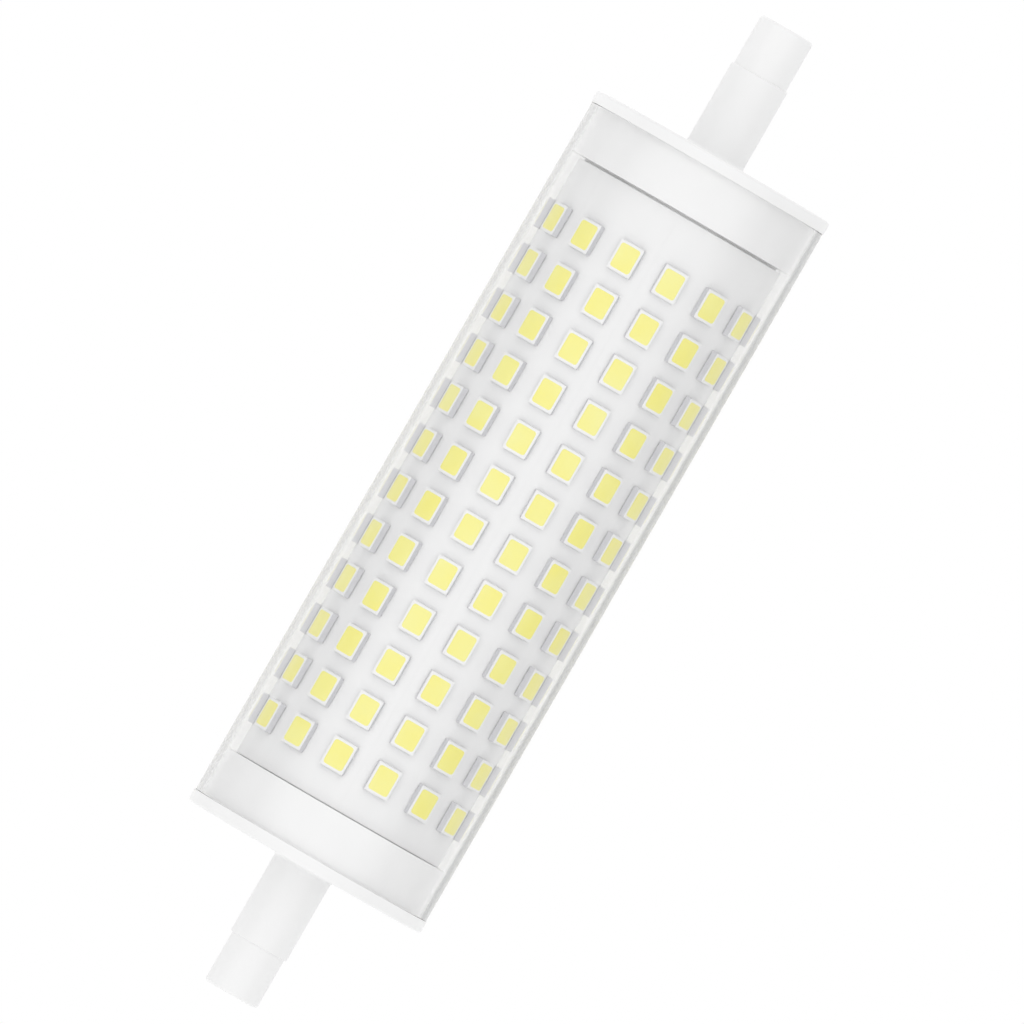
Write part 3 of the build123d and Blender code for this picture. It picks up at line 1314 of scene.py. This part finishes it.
@dataclass
class Driver:
    """The driver inside the roll: its solids keep their shapes and get their finishes.

    Sizes of their metal ends, bases and bands are in millimetres. Legs and tabs end just short of the body's
    side, and a can's base just above its top, so that each face is one material.
    """

    leg_reach: float = 0.97
    tab_reach: float = 0.87
    chip_end: float = 0.45
    can_base: float = 0.83
    band_width: float = 0.5
    band_pitch: float = 0.95
    first_band: float = 1.3
    band_colours: tuple[str, ...] = ("#6A3B20", "#1F1F20", "#6A3B20", "#B08A36")
    tin_colour: str = "#CAC8C3"
    tin_roughness: float = 0.3
    base_colour: str = "#2A2A2B"
    base_roughness: float = 0.5

    def build(self) -> None:
        """Dress every solid of the driver."""
        finishes = {**self.boards_and_wires(), **self.packages(), **self.bodies()}
        for node, finish in finishes.items():
            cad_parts[node].material_slots[0].material = finish.material()
            log.info("%s: %s", node, finish.name)

    def metal_ends(self, node: str, axis: Axis, reach: float) -> tuple[Zone, ...]:
        """Tinned metal at both ends of a solid.

        Args:
            node: the solid.
            axis: the axis that the ends face along.
            reach: how far the metal reaches in from each end, in millimetres.

        Returns:
            The two zones.
        """
        ends = [getattr(corner, axis.value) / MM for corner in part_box(node)]
        return tuple(
            Zone(axis, end - reach, end + reach, self.tin_colour, self.tin_roughness, metallic=1.0)
            for end in ends
        )

    def boards_and_wires(self) -> dict[str, Finish]:
        """Finishes of the driver board, its wires and the winding.

        Returns:
            The finish of each solid, by its name.
        """
        # Glass cloth pressed in epoxy: the threads' crossings show through the green mask as a faint check
        laminate = RidgedFinish(
            "glass_epoxy_laminate",
            "#2B6138",
            roughness=0.45,
            pitch=0.5,
            groove_tone_and_shade_colour="#20522E",
            directions=(Axis.X, Axis.Y),
        )
        # Copper wire drawn through a die and hot-tinned: bright, with slight rings where the tin froze
        wire, pin = [
            RidgedFinish(
                "tinned_copper",
                self.tin_colour,
                roughness=self.tin_roughness,
                metallic=1.0,
                pitch=0.6,
                depth=0.002,
                groove_tone_and_shade_colour="#BFBCB6",
                directions=(axis,),
            )
            for axis in (Axis.X, Axis.Z)
        ]
        # Enamelled wire wound close: glossy amber turns, with painted shade dark in the grooves between them
        winding = RidgedFinish(
            "enamelled_copper",
            "#B0682F",
            roughness=0.25,
            depth=0.08,
            # Painted shade: the dark between the turns
            groove_tone_and_shade_colour="#5E3316",
            directions=(Axis.Z,),
        )
        return {
            "driver_board": laminate,
            "left_mains_lead": wire,
            "right_mains_lead": wire,
            "positive_pin": pin,
            "negative_pin": pin,
            "inductor_winding": winding,
        }

    def packages(self) -> dict[str, Finish]:
        """Finishes of the parts with metal legs, tabs or end caps.

        Returns:
            The finish of each solid, by its name.
        """
        finishes: dict[str, Finish] = {}
        # Epoxy moulded round the legs: matt black from the tool's grain, with bright tinned metal outside
        for node, axis, reach in (
            ("bridge_rectifier", Axis.Y, self.leg_reach),
            ("driver_chip", Axis.Y, self.leg_reach),
            ("freewheel_diode", Axis.X, self.tab_reach),
        ):
            ends = self.metal_ends(node, axis, reach)
            finishes[node] = SpeckledBody(
                "moulded_black_epoxy",
                "#242425",
                roughness=0.55,
                second_colour="#2C2C2D",
                speckle=0.2,
                zones=ends,
            )
        # Chips fired as flat stacks and dipped at both ends: a dull or glazed body between tinned caps
        for node, name, colour, second, roughness in (
            ("sense_resistors", "glazed_alumina", "#2A2A2C", "#363638", 0.3),
            ("ceramic_capacitors", "fired_ceramic", "#B08E66", "#A48258", 0.5),
        ):
            ends = self.metal_ends(node, Axis.X, self.chip_end)
            finishes[node] = SpeckledBody(name, colour, roughness, second_colour=second, zones=ends)
        return finishes

    def bodies(self) -> dict[str, Finish]:
        """Finishes of the larger parts on the board.

        Returns:
            The finish of each solid, by its name.
        """
        # Aluminium cans drawn in a press, on a moulded base: silvery and smooth over matt black
        cans: dict[str, Finish] = {}
        for node in ("smoothing_capacitor", "output_capacitor"):
            low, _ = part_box(node)
            foot = low.z / MM
            base = Zone(
                Axis.Z, foot - self.can_base, foot + self.can_base, self.base_colour, self.base_roughness
            )
            cans[node] = SpeckledBody(
                "drawn_aluminium",
                "#D6D6D6",
                roughness=0.32,
                metallic=1.0,
                second_colour="#CDCDCD",
                zones=(base,),
            )
        # Dipped in enamel and marked with painted bands: an eggshell gloss, slightly uneven
        left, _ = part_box("fusible_resistor")
        bands = []
        for index, colour in enumerate(self.band_colours):
            start = left.x / MM + self.first_band + self.band_pitch * index
            bands.append(Zone(Axis.X, start, start + self.band_width, colour, self.tin_roughness))
        resistor = SpeckledBody(
            "dipped_enamel", "#86A6A8", roughness=0.35, second_colour="#7A9A9C", zones=tuple(bands)
        )
        # Powder coat melted on: a soft blue gloss with a fine peel
        varistor = SpeckledBody("blue_epoxy_coat", "#2A4C86", roughness=0.4, second_colour="#34568F")
        # Moulded case: satin yellow with the tool's fine grain
        case = SpeckledBody("moulded_yellow_pbt", "#D8A63A", roughness=0.4, second_colour="#CD9A30")
        # Oxide powder pressed and fired: dull dark grey, slightly mottled
        ferrite = SpeckledBody("sintered_ferrite", "#3A3A3C", roughness=0.6, second_colour="#454547")
        return {
            **cans,
            "fusible_resistor": resistor,
            "surge_varistor": varistor,
            "input_film_capacitor": case,
            "inductor_core": ferrite,
        }


@dataclass(frozen=True)
class Softbox:
    """A soft patch of the surrounding light.

    Attributes:
        towards: direction from the lamp to the patch's middle.
        spread: angle in degrees from its middle to where it has faded out.
        strength: light at its middle.
    """

    towards: tuple[float, float, float]
    spread: float
    strength: float


@dataclass
class Studio:
    """Floor, soft light and camera.

    Attributes:
        view_width: width of the view at the lamp, in millimetres.
        view_centre: place (x, y) that the camera is above, in millimetres.
        axis_slope: angle of the lamp's axis in the view, in degrees.
        camera_distance: height of the camera, in metres.
        sensor: width of its sensor, in millimetres.
        floor_half: half of the floor's side, in metres.
        fill: light from all round.
        horizon_glow: light of the backdrop at the horizon, over the fill.
        horizon_top: sine of the height at which the backdrop's light has faded out.
        softboxes: the patches of light.
    """

    view_width: float = 108.4
    view_centre: Point = (0.127, -0.286)
    axis_slope: float = 60.0
    camera_distance: float = 4.0
    sensor: float = 36.0
    floor_half: float = 2.0
    fill: float = 0.44
    horizon_glow: float = 0.5
    horizon_top: float = 0.4
    softboxes: tuple[Softbox, ...] = (
        Softbox((0.0, 0.01, 1.0), 75.0, 0.79),
        Softbox((-0.8, 0.1, 0.5), 42.0, 0.66),
        Softbox((0.8, 0.1, 0.5), 42.0, 0.54),
    )

    def build(self) -> None:
        """Set up the floor, the light and the camera."""
        bpy.context.scene.view_settings.view_transform = "Standard"
        self.lay_floor()
        self.light()
        self.aim_camera()

    def lay_floor(self) -> None:
        """Lay a pale sheet under the lamp."""
        low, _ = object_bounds()
        half = self.floor_half / MM
        places = ((-half, -half), (half, -half), (half, half), (-half, half))
        corners = [Vector((x, y, low.z / MM)) for x, y in places]
        floor = make_piece("floor", corners, [list(range(len(corners)))])
        # Matt sheet rolled out over a light table: it has no gloss, and it is bright by itself
        sheet = LitSheet("lit_white_sheet", "#E6E6E6", roughness=0.9)
        floor.data.materials.append(sheet.material())
        floor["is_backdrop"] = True

    def light(self) -> None:
        """Even light from all round, brighter at the horizon as from a white backdrop, with soft patches."""
        world = bpy.data.worlds.new("soft_light")
        world.use_nodes = True
        tree = world.node_tree
        tree.nodes.clear()
        sky = add_node(tree, "ShaderNodeTexCoord")
        height = add_node(tree, "ShaderNodeSeparateXYZ", {"Vector": sky.outputs["Generated"]})
        backdrop = add_node(
            tree,
            "ShaderNodeMapRange",
            {
                "Value": height.outputs["Z"],
                "From Max": self.horizon_top,
                "To Min": self.fill + self.horizon_glow,
                "To Max": self.fill,
            },
            interpolation_type="SMOOTHERSTEP",
        )
        total = backdrop.outputs["Result"]
        for box in self.softboxes:
            aim = add_node(
                tree,
                "ShaderNodeVectorMath",
                {0: sky.outputs["Generated"], 1: Vector(box.towards).normalized()},
                operation="DOT_PRODUCT",
            )
            edge = math.cos(math.radians(box.spread))
            glow = add_node(
                tree,
                "ShaderNodeMapRange",
                {"Value": aim.outputs["Value"], "From Min": edge, "To Max": box.strength},
                interpolation_type="SMOOTHERSTEP",
            )
            added = add_node(tree, "ShaderNodeMath", {0: total, 1: glow.outputs["Result"]}, operation="ADD")
            total = added.outputs["Value"]
        light = add_node(tree, "ShaderNodeBackground", {"Color": WHITE, "Strength": total})
        add_node(tree, "ShaderNodeOutputWorld", {"Surface": light.outputs["Background"]})
        bpy.context.scene.world = world

    def aim_camera(self) -> None:
        """A long lens straight above the lamp, turned so that the lamp's axis rises to the right."""
        camera = bpy.data.objects.new("camera", bpy.data.cameras.new("camera"))
        camera.data.sensor_width = self.sensor
        camera.data.lens = self.sensor * self.camera_distance / (self.view_width * MM)
        x, y = self.view_centre
        camera.location = (x * MM, y * MM, self.camera_distance)
        camera.rotation_euler = (0, 0, -math.radians(self.axis_slope))
        bpy.context.scene.collection.objects.link(camera)
        bpy.context.scene.camera = camera


def main() -> None:
    """Build the lamp's looks and the studio."""
    logging.basicConfig(level=logging.INFO, format="%(name)s: %(message)s")
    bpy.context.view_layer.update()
    for assembly in (ClearTube(), EndCaps(), Contacts(), RolledBoard(), ChipArray(), Driver(), Studio()):
        assembly.build()


if __name__ == "__main__":
    main()
